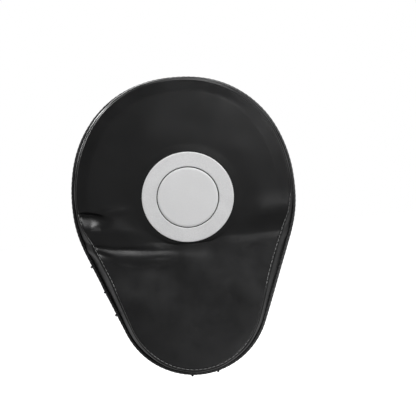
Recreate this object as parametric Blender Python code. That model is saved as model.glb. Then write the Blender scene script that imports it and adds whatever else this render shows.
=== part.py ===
"""Curved focus mitt for a left hand.

The mitt is a padded teardrop in two sections that meet at a flex line below the target. The
strike section carries the target and the finger pocket. The heel section carries the palm pad,
the thumb pocket and the wrist strap. The hitting face looks towards -Y, the hand goes in from
behind, and +Z runs to the fingertips. The origin is the middle of the palm pad's flat face.

Each section is drawn in its own frame: x across, b backwards from the flex axis, s up from it.
Lengths are in millimetres and are turned into metres when a mesh is made.
"""
import math

import bmesh
import bpy
from mathutils import Matrix, Vector

MM = 0.001
GAP = 0.3                      # between pieces that touch

# Flex axis, and how far each section leans from upright about it
FLEX_Y = -7.3
FLEX_Z = 26.0
STRIKE_LEAN = math.radians(14)
HEEL_LEAN = math.radians(-9)
GROOVE = math.radians(19.5)    # half-angle of the groove between the foam sections

# Teardrop outline, measured upright from the wrist end
CROWN_R = 95.4                 # wide upper arc
CROWN_Z = 145.1
CROWN_RISE = 1.089             # height of the crown over its radius
CROWN_POWER = 2.2              # 2 would be an ellipse
HEEL_R = 64.9                  # narrow lower arc
FLEX_HEIGHT = 110.0            # flex axis above the wrist end
FLANK_HEIGHTS = (57.0, 74.0, 91.0)
CROWN_START = math.radians(-12)

# How far the hitting face lies inside the rear edge: all round, on the flanks, and at the waist
FACE_INSET = 1.0
FLANK_INSET = 4.5
WAIST_INSET = 7.0
WAIST_HEIGHT = 75.0
WAIST_SPREAD = 38.0

# Layers from the back (b = BACK) to the hitting face (b = FACE)
BACK = 3.5
THICK = 34.0
FACE = BACK - THICK
SKIN = 1.2
BOARD = 4.5
CORE = 14.0
BINDING_R = 1.5
SEAM = 2 * BINDING_R + GAP     # the panels' edge lies this far inside the binding's
SLACK = 1.0                    # between the filling and the side band
BAND_STEPS = 4                 # rows of faces across the side band

# Target
TARGET_R = 38.0
TARGET_INNER_R = 25.2
TARGET_LINE = 0.7
TARGET_X = 3.4
TARGET_S = 48.3
TARGET_SKIN = 0.5

# Finger pocket on the strike section
POCKET_W = 46.0                # half-width of its mouth
POCKET_D = 34.0
POCKET_S = 14.0
POCKET_L = 100.0
POCKET_TAPER = 0.30

# Thumb pocket on the heel section
THUMB_W = 18.5
THUMB_D = 25.0
THUMB_L = 40.0
THUMB_TAPER = 0.36
THUMB_MOUTH = (-45.0, -50.5)
THUMB_SWAY = -0.55             # sideways travel for each millimetre towards the tip

# Walls of both pockets, from the outside in
SHELL = 1.6
FINGER_PADDING = 4.0
THUMB_PADDING = 2.0
LINING = 0.9
NEST = 0.5
TIP_ROUND = 0.4                # how much the last of a pocket's width closes at its tip

# Palm pad
PALM_W = 26.0
PALM_H = 19.0
PALM_DEEP = 14.0
PALM_ROUND = 3.0

# Wrist strap: an arch over the wrist, in a fixed half and a flap that overlaps it
STRAP_S = -76.0
STRAP_W = 30.0
STRAP_T = 2.2
ARCH_W = 43.0                  # half-width and height of the arch
ARCH_H = 40.0
PATCH_T = 0.9
PATCH_W = 26.0
TAB_END = 112.0                # degrees along the arch, from the fixed foot
FLAP_END = 52.0
FLAP_ROOT = 176.0
FLAP_AXIS = (-44.0, 6.0, STRAP_S)
PATCH_FROM = 60.0
PATCH_TO = 108.0
STRAP_CLEAR = 0.4              # between the strap's feet and the back panel
FOOT_X = (26.0, 37.0, 38.5)    # the fixed half lies flat between the first two and then turns up
FOOT_END = 16.0                # degrees along the arch at which it has turned up
KNEE_SHIFT = (2.2, -2.6)       # outwards and down, which rounds the turn
KNEE_TILT = 0.9
TAB_STEPS = 16
FLAP_STEPS = 22
PATCH_STEPS = 8
PULL_GAP = 0.6                 # degrees between the flap's end and its pull tab
PULL_LENGTH = 16.0             # degrees
PULL_SINK = 0.4
PULL_EXTRA = 0.8               # thicker than the strap
PULL_NARROW = 8.0
FLAP_RISE = (168.0, 48.0)      # where the flap starts to leave the arch's line, and over how far
ANCHOR_TALLER = 3.0            # than the strap is wide
TAB_ANCHOR = (31.0, 11.0, 1.2)     # x, width and thickness
FLAP_ANCHOR = (-34.0, 13.0, 2.4)
ANCHOR_OVER = 0.7              # between the fixed half and the patch over it
ANCHOR_ROUND = 2.0

COLORS = {
    "leather": (0.022, 0.022, 0.024, 0.42, 0.0),
    "binding": (0.03, 0.03, 0.032, 0.5, 0.0),
    "target": (0.62, 0.62, 0.63, 0.6, 0.0),
    "target_centre": (0.66, 0.66, 0.67, 0.45, 0.0),
    "foam": (0.16, 0.17, 0.19, 0.9, 0.0),
    "board": (0.08, 0.08, 0.085, 0.75, 0.0),
    "lining": (0.05, 0.05, 0.055, 0.95, 0.0),
    "strap": (0.03, 0.03, 0.033, 0.8, 0.0),
    "hook_loop": (0.02, 0.02, 0.02, 0.95, 0.0),
}


def clear_scene():
    for old in list(bpy.data.objects):
        bpy.data.objects.remove(old, do_unlink=True)


def make_material(name):
    red, green, blue, rough, metal = COLORS[name]
    material = bpy.data.materials.new(name)
    material.use_nodes = True
    shader = material.node_tree.nodes["Principled BSDF"]
    shader.inputs["Base Color"].default_value = (red, green, blue, 1)
    shader.inputs["Roughness"].default_value = rough
    shader.inputs["Metallic"].default_value = metal
    return material


def make_frame(name, lean, parent, collection):
    """An empty on the flex axis, leaning with its section."""
    empty = bpy.data.objects.new(name, None)
    empty.rotation_euler = (lean, 0, 0)
    empty.parent = parent
    collection.objects.link(empty)
    return empty


def add_piece(name, bm, material, parent=None):
    """Turn a bmesh in millimetres into a named object in its parent's frame."""
    bmesh.ops.recalc_face_normals(bm, faces=bm.faces)
    bmesh.ops.scale(bm, vec=(MM, MM, MM), verts=bm.verts)
    mesh = bpy.data.meshes.new(name)
    bm.to_mesh(mesh)
    bm.free()
    mesh.shade_smooth()
    mesh.set_sharp_from_angle(angle=math.radians(35))
    piece = bpy.data.objects.new(name, mesh)
    piece.data.materials.append(materials[material])
    piece.parent = parent
    parts.objects.link(piece)
    return piece


# ---------------------------------------------------------------- outline

def flank_slope():
    return math.asin((CROWN_R - HEEL_R) / (CROWN_Z - HEEL_R))


def outline_half():
    """(x, height, outward normal) along the right side, from the wrist end to the crown."""
    slope = flank_slope()
    points = []
    for i in range(15):
        turn = -math.pi / 2 + (math.pi / 2 - slope) * i / 14
        points.append((HEEL_R * math.cos(turn), HEEL_R * (1 + math.sin(turn)), turn))
    low_x, low_z = points[-1][:2]
    high_x = CROWN_R * math.cos(slope)
    high_z = CROWN_Z - CROWN_R * math.sin(slope)
    for height in FLANK_HEIGHTS:
        share = (height - low_z) / (high_z - low_z)
        points.append((low_x + share * (high_x - low_x), height, -slope))
    turn = math.asin((FLEX_HEIGHT - CROWN_Z) / CROWN_R)
    points.append((CROWN_R * math.cos(turn), FLEX_HEIGHT, turn))
    for i in range(24):
        turn = CROWN_START + (math.pi / 2 - CROWN_START) * i / 23
        sin, cos = math.sin(turn), math.cos(turn)
        if sin < 0:
            points.append((CROWN_R * cos, CROWN_Z + CROWN_R * sin, turn))
            continue
        cos = max(cos, 0.0) ** (2 / CROWN_POWER)
        sin = sin ** (2 / CROWN_POWER)
        points.append((CROWN_R * cos, CROWN_Z + CROWN_R * CROWN_RISE * sin, turn))
    return points


def face_inset(height, turn):
    """How far the hitting face's seam lies inside the rear edge."""
    waist = WAIST_INSET * math.exp(-((height - WAIST_HEIGHT) / WAIST_SPREAD) ** 2)
    return FACE_INSET + math.cos(turn) ** 2 * (FLANK_INSET + waist)


def outline(depth, inset=SEAM):
    """The closed outline as (x, s), anticlockwise from the right flex point.

    depth is 0 at the rear edge and 1 at the hitting face. Also returns how many of the points
    belong to the strike section.
    """
    right = []
    for x, height, turn in outline_half():
        pull = inset + depth * face_inset(height, turn)
        at_flex = height == FLEX_HEIGHT
        x -= pull * (1 / math.cos(turn) if at_flex else math.cos(turn))
        height -= 0 if at_flex else pull * math.sin(turn)
        lean = STRIKE_LEAN if height > FLEX_HEIGHT else HEEL_LEAN
        right.append((max(x, 0.0), (height - FLEX_HEIGHT) / math.cos(lean)))
    flex = [p[1] for p in right].index(0.0)
    upper = right[flex:]
    lower = right[:flex]
    top = upper + [(-x, s) for x, s in reversed(upper[:-1])]
    bottom = [(-x, s) for x, s in reversed(lower)] + lower[1:]
    return top + bottom, len(top)


def bend(x, b, s):
    """Millimetres in the flat mitt to millimetres in the bent one, mitred at the flex line."""
    lean = STRIKE_LEAN if s > 0 else HEEL_LEAN
    if s == 0:
        lean = (STRIKE_LEAN + HEEL_LEAN) / 2
        b /= math.cos((STRIKE_LEAN - HEEL_LEAN) / 2)
    y = FLEX_Y + b * math.cos(lean) - s * math.sin(lean)
    z = FLEX_Z + b * math.sin(lean) + s * math.cos(lean)
    return Vector((x, y, z))


# ---------------------------------------------------------------- mesh builders

def loft(rings, caps=(), round_again=False):
    """Join rings of points, each closed on itself, and cap the two ends."""
    bm = bmesh.new()
    loops = [[bm.verts.new(point) for point in ring] for ring in rings]
    count = len(loops[0])
    pairs = list(zip(loops, loops[1:]))
    if round_again:
        pairs.append((loops[-1], loops[0]))
    for first, second in pairs:
        for i in range(count):
            j = (i + 1) % count
            bm.faces.new((first[i], first[j], second[j], second[i]))
    for cap in caps:
        for loop in (loops[0], loops[-1]):
            bm.faces.new([loop[i] for i in cap])
    return bm


def bent_panel(b_back, b_front, inset=SEAM):
    """A one-piece panel of the whole outline, folded at the flex line."""
    rings = []
    for b in (b_back, b_front):
        points, top_count = outline((BACK - b) / THICK, inset)
        rings.append([bend(x, b, s) for x, s in points])
    count = len(points)
    upper = list(range(top_count))
    lower = list(range(top_count - 1, count)) + [0]
    return loft(rings, caps=(upper, lower))


def section_layer(b_back, b_front, strike):
    """A layer of one section, in its own frame, cut off at the groove between the sections."""
    side = 1 if strike else -1
    rings = []
    for b in (b_back, b_front):
        points, top_count = outline((BACK - b) / THICK, SEAM + SKIN + SLACK)
        points = points[:top_count] if strike else points[top_count - 1:] + points[:1]
        mitre = -side * b * math.tan((STRIKE_LEAN - HEEL_LEAN) / 2)
        rings.append([(x, b, s or mitre) for x, s in points])
    bm = loft(rings, caps=(range(len(rings[0])),))
    normal = Vector((0, math.sin(GROOVE), side * math.cos(GROOVE)))
    point = Vector((0, BACK, side * 0.5))
    everything = bm.verts[:] + bm.edges[:] + bm.faces[:]
    cut = bmesh.ops.bisect_plane(bm, geom=everything, plane_co=point, plane_no=normal,
                                 clear_inner=True, dist=0.00001)
    edges = [item for item in cut["geom_cut"] if isinstance(item, bmesh.types.BMEdge)]
    bmesh.ops.contextual_create(bm, geom=edges)
    return bm


def edge_band():
    """The side band: a strip all round between the two panels."""
    back = BACK - SKIN - GAP
    front = FACE + SKIN + GAP
    levels = [back + (front - back) * i / BAND_STEPS for i in range(BAND_STEPS + 1)]
    corners = [(b, SEAM) for b in levels] + [(b, SEAM + SKIN) for b in reversed(levels)]
    rings = []
    for b, inset in corners:
        points = outline((BACK - b) / THICK, inset)[0]
        rings.append([bend(x, b, s) for x, s in points])
    return loft(rings, round_again=True)


def tube(points, radius, sides=8, closed=False, across=Vector((0, 1, 0))):
    """A round bead along points; across is a direction that the route never runs along."""
    count = len(points)
    rings = []
    for i, point in enumerate(points):
        before = points[i - 1] if closed or i else point
        after = points[(i + 1) % count] if closed or i < count - 1 else point
        along = (after - before).normalized()
        side = along.cross(across).normalized()
        up = side.cross(along)
        turns = [2 * math.pi * k / sides for k in range(sides)]
        rings.append([point + radius * (side * math.cos(t) + up * math.sin(t)) for t in turns])
    caps = () if closed else (range(sides),)
    return loft(rings, caps=caps, round_again=closed)


def rear_binding():
    points = outline(0, BINDING_R)[0]
    return tube([bend(x, BACK - BINDING_R, s) for x, s in points], BINDING_R, closed=True)


def disc(radius, thick, inner=0.0, segments=64):
    """A flat disc or ring with its axis along b, its front at 0."""
    turns = [2 * math.pi * i / segments for i in range(segments)]

    def circle(r, b):
        return [(r * math.cos(t), b, r * math.sin(t)) for t in turns]

    if inner:
        return loft([circle(radius, 0), circle(radius, thick), circle(inner, thick),
                     circle(inner, 0)], round_again=True)
    return loft([circle(radius, 0), circle(radius, thick)], caps=(range(segments),))


def dome_point(width, deep, length, taper, v, turn):
    """A point of a pocket: v runs from mouth to tip, turn from side to side."""
    x = width * (1 - taper * v ** 2) * (1 - TIP_ROUND * v ** 10) * math.cos(turn)
    b = deep * math.sqrt(max(1 - v ** 2.2, 0)) * math.sin(turn)
    return x, b, length * v


def dome(width, deep, length, taper, wall, rows, columns, sway=0.0):
    """A pocket wall: an outer and an inner dome, open at the mouth and underneath."""
    bm = bmesh.new()
    base = BACK + GAP
    grids = []
    for less in (0.0, wall):
        grid = []
        for i in range(rows):
            v = math.sin(math.pi / 2 * i / (rows - 1))
            row = []
            for j in range(columns):
                turn = math.pi * j / (columns - 1)
                x, b, s = dome_point(width - less, deep - less, length - less, taper, v, turn)
                row.append(bm.verts.new((x + sway * s, base + b, s)))
            grid.append(row)
        grids.append(grid)
    outer, inner = grids
    for grid in grids:
        for i in range(rows - 1):
            for j in range(columns - 1):
                bm.faces.new((grid[i][j], grid[i][j + 1], grid[i + 1][j + 1], grid[i + 1][j]))
    left = [(outer[i][0], inner[i][0]) for i in range(rows)]
    right = [(outer[i][-1], inner[i][-1]) for i in range(rows)]
    mouth = [(outer[0][j], inner[0][j]) for j in range(columns)]
    tip = [(outer[-1][j], inner[-1][j]) for j in range(columns)]
    for edge in (left, right, mouth, tip):
        for (a, b), (c, d) in zip(edge, edge[1:]):
            bm.faces.new((a, b, d, c))
    return bm


def moved(bm, x=0.0, b=0.0, s=0.0):
    bmesh.ops.translate(bm, vec=(x, b, s), verts=bm.verts)
    return bm


def mouth_bead(width, deep, wall, radius, columns):
    """The bound edge below a pocket's mouth, following the middle of its wall."""
    base = BACK + GAP + radius
    middle = wall / 2
    points = []
    for j in range(columns):
        turn = math.pi * j / (columns - 1)
        b = (deep - middle - radius) * math.sin(turn)
        points.append(Vector(((width - middle) * math.cos(turn), base + b, 0)))
    return tube(points, radius, across=Vector((0, 0, 1)))


def pocket(prefix, size, taper, padding, place, sway, rows, columns, frame):
    """Shell, padding, lining and mouth binding of one pocket."""
    width, deep, length = size
    layers = (("", SHELL, "leather"), ("_padding", padding, "foam"), ("_lining", LINING, "lining"))
    inside = 0.0
    for suffix, wall, material in layers:
        bm = dome(width - inside, deep - inside, length - inside, taper, wall, rows, columns, sway)
        add_piece(prefix + suffix, moved(bm, x=place[0], s=place[1]), material, frame)
        inside += wall + NEST
    bead = (inside - NEST) / 2
    bm = mouth_bead(width, deep, inside - NEST, bead, columns)
    add_piece(prefix + "_binding", moved(bm, x=place[0], s=place[1] - bead - GAP), "binding", frame)


# ---------------------------------------------------------------- strap

def arch(degrees, lift):
    """A point and its outward normal on the strap's arch, raised by lift."""
    turn = math.radians(degrees)
    point = Vector((ARCH_W * math.cos(turn), 0, ARCH_H * math.sin(turn)))
    normal = Vector((math.cos(turn) / ARCH_W, 0, math.sin(turn) / ARCH_H)).normalized()
    return point + normal * lift, normal


def flap_lift(degrees):
    """The flap leaves the arch's line at its root and rides over the fixed half."""
    share = min(max((FLAP_RISE[0] - degrees) / FLAP_RISE[1], 0), 1)
    over = STRAP_T + 2 * PATCH_T + 3 * GAP
    return over * share * share * (3 - 2 * share)


def ribbon(path, thick, width):
    """A flat band along a path of (point, normal) in the x-b plane, width along s."""
    base = BACK + GAP + STRAP_CLEAR
    rings = []
    for point, normal in path:
        low = point
        high = point + normal * thick
        ring = []
        for corner, s in ((low, -1), (high, -1), (high, 1), (low, 1)):
            ring.append((corner.x, base + corner.z, STRAP_S + s * width / 2))
        rings.append(ring)
    return loft(rings, caps=(range(4),))


def arc_path(start, stop, lift, steps):
    path = []
    for i in range(steps + 1):
        degrees = start + (stop - start) * i / steps
        path.append(arch(degrees, lift(degrees) if callable(lift) else lift))
    return path


def plate(x, s, width, height, b, thick):
    bm = bmesh.new()
    bmesh.ops.create_cube(bm, size=1)
    bmesh.ops.scale(bm, vec=(width, thick, height), verts=bm.verts)
    upright = [edge for edge in bm.edges if abs(edge.verts[0].co.y - edge.verts[1].co.y) > 0.1]
    bmesh.ops.bevel(bm, geom=upright, offset=ANCHOR_ROUND, segments=3, affect="EDGES")
    return moved(bm, x, b + thick / 2, s)


# ---------------------------------------------------------------- the mitt

def build_skins():
    """The one-piece leather that runs over the flex line."""
    add_piece("back_panel", bent_panel(BACK, BACK - SKIN), "leather")
    add_piece("side_band", edge_band(), "leather")
    add_piece("edge_binding", rear_binding(), "binding")
    add_piece("front_panel", bent_panel(FACE + SKIN, FACE), "leather")


def build_filling(prefix, strike, frame):
    """Board, core foam and face foam of one section, from the back to the face."""
    back = BACK - SKIN - GAP
    core = back - BOARD - GAP
    face = core - CORE - GAP
    front = FACE + SKIN + GAP
    layers = (("back_board", back, back - BOARD, "board"), ("core_foam", core, core - CORE, "foam"),
              ("face_foam", face, front, "foam"))
    for name, b_back, b_front, material in layers:
        add_piece(prefix + name, section_layer(b_back, b_front, strike), material, frame)


def build_target(frame):
    front = FACE - GAP - TARGET_SKIN
    ring = disc(TARGET_R, TARGET_SKIN, TARGET_INNER_R + TARGET_LINE)
    add_piece("target_ring", moved(ring, TARGET_X, front, TARGET_S), "target", frame)
    centre = disc(TARGET_INNER_R, TARGET_SKIN)
    add_piece("target_centre", moved(centre, TARGET_X, front, TARGET_S), "target_centre", frame)


def build_palm_pad():
    """A cushion with its flat top exactly upright and its base along the heel section's back."""
    bm = bmesh.new()
    bmesh.ops.create_cone(bm, cap_ends=True, segments=40, radius1=1, radius2=1, depth=1)
    turn = Matrix.Rotation(math.radians(90), 4, "X")
    bmesh.ops.transform(bm, matrix=turn, verts=bm.verts)
    bmesh.ops.scale(bm, vec=(PALM_W, PALM_DEEP, PALM_H), verts=bm.verts)
    bmesh.ops.translate(bm, vec=(0, -PALM_DEEP / 2, 0), verts=bm.verts)
    rim = [edge for edge in bm.edges if all(vert.co.y > -0.1 for vert in edge.verts)]
    bmesh.ops.bevel(bm, geom=rim, offset=PALM_ROUND, segments=3, profile=0.6, affect="EDGES")
    point = bend(0, BACK + GAP, -1)
    normal = Vector((0, math.cos(HEEL_LEAN), math.sin(HEEL_LEAN)))
    everything = bm.verts[:] + bm.edges[:] + bm.faces[:]
    cut = bmesh.ops.bisect_plane(bm, geom=everything, plane_co=point, plane_no=normal,
                                 clear_inner=True, dist=0.00001)
    edges = [item for item in cut["geom_cut"] if isinstance(item, bmesh.types.BMEdge)]
    bmesh.ops.contextual_create(bm, geom=edges)
    add_piece("palm_pad", bm, "leather")


def build_wrist_strap(frame, flap_frame):
    """The fixed half with its loop patch, and the flap with its hook patch and pull tab."""
    up = Vector((0, 0, 1))
    foot = [(Vector((x, 0, 0)), up) for x in FOOT_X[:2]]
    turned, turned_normal = arch(FOOT_END, 0)
    knee_place = (turned + Vector((FOOT_X[2], 0, 0))) / 2 + Vector((KNEE_SHIFT[0], 0, KNEE_SHIFT[1]))
    knee = (knee_place, (up * KNEE_TILT - turned_normal).normalized())
    inward = [(p + n * STRAP_T, -n) for p, n in arc_path(FOOT_END, TAB_END, 0, TAB_STEPS)]
    add_piece("wrist_tab", ribbon(foot + [knee] + inward, STRAP_T, STRAP_W), "strap", frame)
    loop = arc_path(PATCH_FROM, PATCH_TO, STRAP_T + GAP, PATCH_STEPS)
    add_piece("loop_patch", ribbon(loop, PATCH_T, PATCH_W), "hook_loop", frame)
    hook = arc_path(PATCH_FROM, PATCH_TO, STRAP_T + PATCH_T + 2 * GAP, PATCH_STEPS)
    flap = arc_path(FLAP_ROOT, FLAP_END, flap_lift, FLAP_STEPS)
    pull = arc_path(FLAP_END - PULL_GAP, FLAP_END - PULL_LENGTH, flap_lift(0) - PULL_SINK, 4)
    moving = (("hook_patch", hook, PATCH_T, PATCH_W, "hook_loop"),
              ("wrist_flap", flap, STRAP_T, STRAP_W, "strap"),
              ("pull_tab", pull, STRAP_T + PULL_EXTRA, STRAP_W - PULL_NARROW, "binding"))
    for name, path, thick, width, material in moving:
        bm = moved(ribbon(path, thick, width), *[-distance for distance in FLAP_AXIS])
        add_piece(name, bm, material, flap_frame)
    back = BACK + GAP
    anchors = (("tab_anchor", TAB_ANCHOR, back + STRAP_T + ANCHOR_OVER),
               ("flap_anchor", FLAP_ANCHOR, back))
    for name, (x, width, thick), b in anchors:
        patch = plate(x, STRAP_S, width, STRAP_W + ANCHOR_TALLER, b, thick)
        add_piece(name, patch, "leather", frame)


clear_scene()
parts = bpy.data.collections.new("focus_mitt")
bpy.context.scene.collection.children.link(parts)
materials = {name: make_material(name) for name in COLORS}

flex = make_frame("palm_flex_axis", 0.0, None, parts)
flex.location = (0, FLEX_Y * MM, FLEX_Z * MM)
strike_frame = make_frame("strike_frame", STRIKE_LEAN, flex, parts)
heel_frame = make_frame("heel_frame", HEEL_LEAN, flex, parts)
flap_frame = make_frame("strap_open_axis", 0.0, heel_frame, parts)
flap_frame.location = [distance * MM for distance in FLAP_AXIS]

build_skins()
build_filling("strike_", True, strike_frame)
build_filling("heel_", False, heel_frame)
build_target(strike_frame)
pocket("finger_pocket", (POCKET_W, POCKET_D, POCKET_L), POCKET_TAPER, FINGER_PADDING,
       (0.0, POCKET_S), 0.0, 12, 19, strike_frame)
pocket("thumb_pocket", (THUMB_W, THUMB_D, THUMB_L), THUMB_TAPER, THUMB_PADDING,
       THUMB_MOUTH, THUMB_SWAY, 9, 13, heel_frame)
build_palm_pad()
build_wrist_strap(heel_frame, flap_frame)
bpy.context.view_layer.update()
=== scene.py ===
import math

import bmesh
import bpy
import numpy as np
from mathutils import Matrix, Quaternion, Vector


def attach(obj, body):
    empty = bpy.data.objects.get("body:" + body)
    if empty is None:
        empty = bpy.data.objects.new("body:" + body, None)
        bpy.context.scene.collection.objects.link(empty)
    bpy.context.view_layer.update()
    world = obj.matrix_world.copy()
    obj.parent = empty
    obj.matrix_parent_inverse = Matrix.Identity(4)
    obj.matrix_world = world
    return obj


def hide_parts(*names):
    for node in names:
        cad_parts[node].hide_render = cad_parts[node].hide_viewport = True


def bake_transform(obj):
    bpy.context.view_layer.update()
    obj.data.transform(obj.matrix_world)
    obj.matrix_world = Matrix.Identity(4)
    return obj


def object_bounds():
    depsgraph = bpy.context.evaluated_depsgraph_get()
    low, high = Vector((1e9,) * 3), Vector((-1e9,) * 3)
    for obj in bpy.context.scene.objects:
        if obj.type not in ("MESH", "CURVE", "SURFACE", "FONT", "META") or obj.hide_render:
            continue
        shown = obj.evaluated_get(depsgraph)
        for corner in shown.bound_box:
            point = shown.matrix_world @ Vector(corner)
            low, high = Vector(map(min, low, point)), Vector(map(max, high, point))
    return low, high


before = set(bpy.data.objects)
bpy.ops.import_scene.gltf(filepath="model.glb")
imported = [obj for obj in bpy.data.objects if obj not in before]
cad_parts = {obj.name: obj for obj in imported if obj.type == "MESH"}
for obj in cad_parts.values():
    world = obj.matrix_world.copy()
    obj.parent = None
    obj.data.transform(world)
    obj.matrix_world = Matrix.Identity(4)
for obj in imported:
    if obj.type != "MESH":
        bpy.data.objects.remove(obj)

# Lengths below are in millimetres unless a name ends in _M. MM turns them into the frame's metres.
# A section's own frame is (x, b, s): x across, b backwards from the flex axis, s up from it.
MM = 0.001

# Driving dimensions, the same as the model's
FLEX_Y, FLEX_Z = -7.3, 26.0
STRIKE_LEAN = math.radians(14)
HEEL_LEAN = math.radians(-9)
CROWN_R, CROWN_Z = 95.4, 145.1
CROWN_RISE, CROWN_POWER = 1.089, 2.2
HEEL_R = 64.9
FLEX_HEIGHT = 110.0
BACK, THICK = 3.5, 34.0
FACE = BACK - THICK
BINDING_R = 1.5
SEAM = 3.3
TARGET_R, TARGET_INNER_R = 37.7, 25.2
TARGET_X, TARGET_S = 3.4, 47.8

# The front seam, measured inwards from the rear edge. The face sits slightly to the right.
HEEL_END_INSET, CROWN_END_INSET = 2.5, -2.0
HEEL_FLANK_INSET, CROWN_FLANK_INSET = 5.0, 7.6
WAIST_INSET, WAIST_HEIGHT, WAIST_SPREAD = 5.4, 113.0, 27.0
FACE_SHIFT = 0.2
FACE_SHIFT_TOP = 30.0
MIDDLE_S = 47.5                # rays round the skins start here

# How far the fold's curve reaches from its corner: at the back, and at the face below the
# corner, above it, and above it under the target, which stays flat
BEND_BACK = 12.0
BEND_FACE_LOW = 26.0
BEND_FACE_HIGH = 21.0
BEND_TARGET_HIGH = 3.2

RAYS = 512                     # points round each skin
BOTH = "both"                  # stands for a body where a piece lies over the fold, across both sections: it is baked in place, on neither


# ---- numbers and curves

def ease(t):
    t = np.clip(t, 0.0, 1.0)
    return t * t * (3 - 2 * t)


def round_angles(count, again=0):
    """Evenly spaced angles round a circle; again is how many of the first ones come twice."""
    return 2 * math.pi * np.arange(count + again) / count


def unit(steps):
    return steps / (np.linalg.norm(steps, axis=-1, keepdims=True) + 1e-9)


def signed_power(value, power):
    """A cosine or sine made squarer (power under 1) and still signed."""
    return np.sign(value) * np.abs(value) ** power


def place(b, s, lean):
    return (FLEX_Y + b * math.cos(lean) - s * math.sin(lean),
            FLEX_Z + b * math.sin(lean) + s * math.cos(lean))


def bend(x, b, s):
    """Points of the flat mitt (millimetres) to the bent one (metres), rounded at the fold.

    Between its two ends the fold is a parabola, whose tangents there are the two sections.
    """
    x, b, s = np.broadcast_arrays(np.asarray(x, float), np.asarray(b, float), np.asarray(s, float))
    depth = (BACK - b) / THICK
    beside = ease((np.abs(x - TARGET_X) - 12.0) / 34.0)
    above = BEND_TARGET_HIGH + (BEND_FACE_HIGH - BEND_TARGET_HIGH) * beside
    above = BEND_BACK + (above - BEND_BACK) * depth
    below = BEND_BACK + (BEND_FACE_LOW - BEND_BACK) * depth
    corner = -b * math.tan((STRIKE_LEAN - HEEL_LEAN) / 2)
    low, high = -corner - below, corner + above
    share = np.clip((s - low) / (high - low), 0, 1)
    coords = [x]
    for heel, strike, heel_end, strike_end, middle in zip(
            place(b, s, HEEL_LEAN), place(b, s, STRIKE_LEAN), place(b, low, HEEL_LEAN),
            place(b, high, STRIKE_LEAN), place(b, corner, STRIKE_LEAN)):
        curve = (1 - share) ** 2 * heel_end + 2 * share * (1 - share) * middle + share ** 2 * strike_end
        coords.append(np.where(s <= low, heel, np.where(s >= high, strike, curve)))
    return np.stack(coords, axis=-1) * MM


def section(x, b, s, lean):
    """Points of one section's own frame (millimetres) to the row frame (metres)."""
    x, b, s = np.broadcast_arrays(np.asarray(x, float), np.asarray(b, float), np.asarray(s, float))
    return np.stack([x, *place(b, s, lean)], axis=-1) * MM


def outline_curve():
    """The rear edge, anticlockwise from the wrist end: x, height, and the way it faces."""
    slope = math.asin((CROWN_R - HEEL_R) / (CROWN_Z - HEEL_R))
    heel = np.linspace(-math.pi / 2, -slope, 160)
    low = np.linspace(-slope, 0, 60)
    high = np.linspace(0, math.pi / 2, 260)[1:]
    cos = np.maximum(np.cos(high), 0) ** (2 / CROWN_POWER)
    sin = np.sin(high) ** (2 / CROWN_POWER)
    x = np.concatenate([HEEL_R * np.cos(heel), CROWN_R * np.cos(low), CROWN_R * cos])
    height = np.concatenate([HEEL_R * (1 + np.sin(heel)), CROWN_Z + CROWN_R * np.sin(low),
                             CROWN_Z + CROWN_R * CROWN_RISE * sin])
    turn = np.concatenate([heel, low, high])
    return x, height, turn


def front_inset(height, turn):
    """How far the front seam lies inside the rear edge: little at the ends, most at the waist."""
    upper = ease((height - 100.0) / 70.0)
    end = HEEL_END_INSET + (CROWN_END_INSET - HEEL_END_INSET) * upper
    flank = HEEL_FLANK_INSET + (CROWN_FLANK_INSET - HEEL_FLANK_INSET) * upper
    waist = WAIST_INSET * np.exp(-((height - WAIST_HEIGHT) / WAIST_SPREAD) ** 2)
    return end + np.cos(turn) ** 2 * (flank + waist)


def rim(angles, depth, extra=0.0):
    """x, s and outward direction of a skin's edge where rays from the middle of the face meet it.

    depth is 0 at the rear seam and 1 at the front one, and extra pulls the edge further in.
    """
    x, height, turn = outline_curve()
    pull = SEAM + depth * (front_inset(height, turn) - SEAM) + extra
    x = x - pull * np.cos(turn)
    height = height - pull * np.sin(turn)
    lean = np.where(height > FLEX_HEIGHT, STRIKE_LEAN, HEEL_LEAN)
    s = (height - FLEX_HEIGHT) / np.cos(lean)
    x = np.concatenate([x, -x[::-1][1:-1]])
    s = np.concatenate([s, s[::-1][1:-1]])
    turn = np.concatenate([turn, math.pi - turn[::-1][1:-1]])
    at = np.unwrap(np.arctan2(s - MIDDLE_S, x))
    order = np.argsort(at)
    at, x, s, turn = at[order], x[order], s[order], turn[order]
    x = x + depth * FACE_SHIFT * ease((FACE_SHIFT_TOP - s) / FACE_SHIFT_TOP)
    wrapped = at[0] + np.mod(angles - at[0], 2 * math.pi)
    full = 2 * math.pi

    def along(values, step=0.0):
        return np.interp(wrapped, np.append(at, at[0] + full), np.append(values, values[0] + step))

    return along(x), along(s), along(np.unwrap(turn), full)


def ripple(x, s, waves):
    """A sum of plane waves: (wavelength, direction in degrees, phase, height) each."""
    total = np.zeros_like(np.asarray(x, float))
    for length, degrees, phase, height in waves:
        way = math.radians(degrees)
        total += height * np.sin(2 * math.pi * (x * math.cos(way) + s * math.sin(way)) / length + phase)
    return total


def smooth_line(points, count=80):
    """A smooth curve through a few (x, s) points, and how far along it each sample is."""
    p = np.array(points, float)
    p = np.vstack([2 * p[0] - p[1], p, 2 * p[-1] - p[-2]])
    spans = len(p) - 3
    out = []
    for t in np.linspace(0, spans - 1e-6, count):
        i = int(t)
        u = t - i
        a, b, c, d = p[i:i + 4]
        out.append(0.5 * (2 * b + (c - a) * u + (2 * a - 5 * b + 4 * c - d) * u * u
                          + (3 * b - a - 3 * c + d) * u ** 3))
    return np.array(out), np.linspace(0, 1, count)


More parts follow.
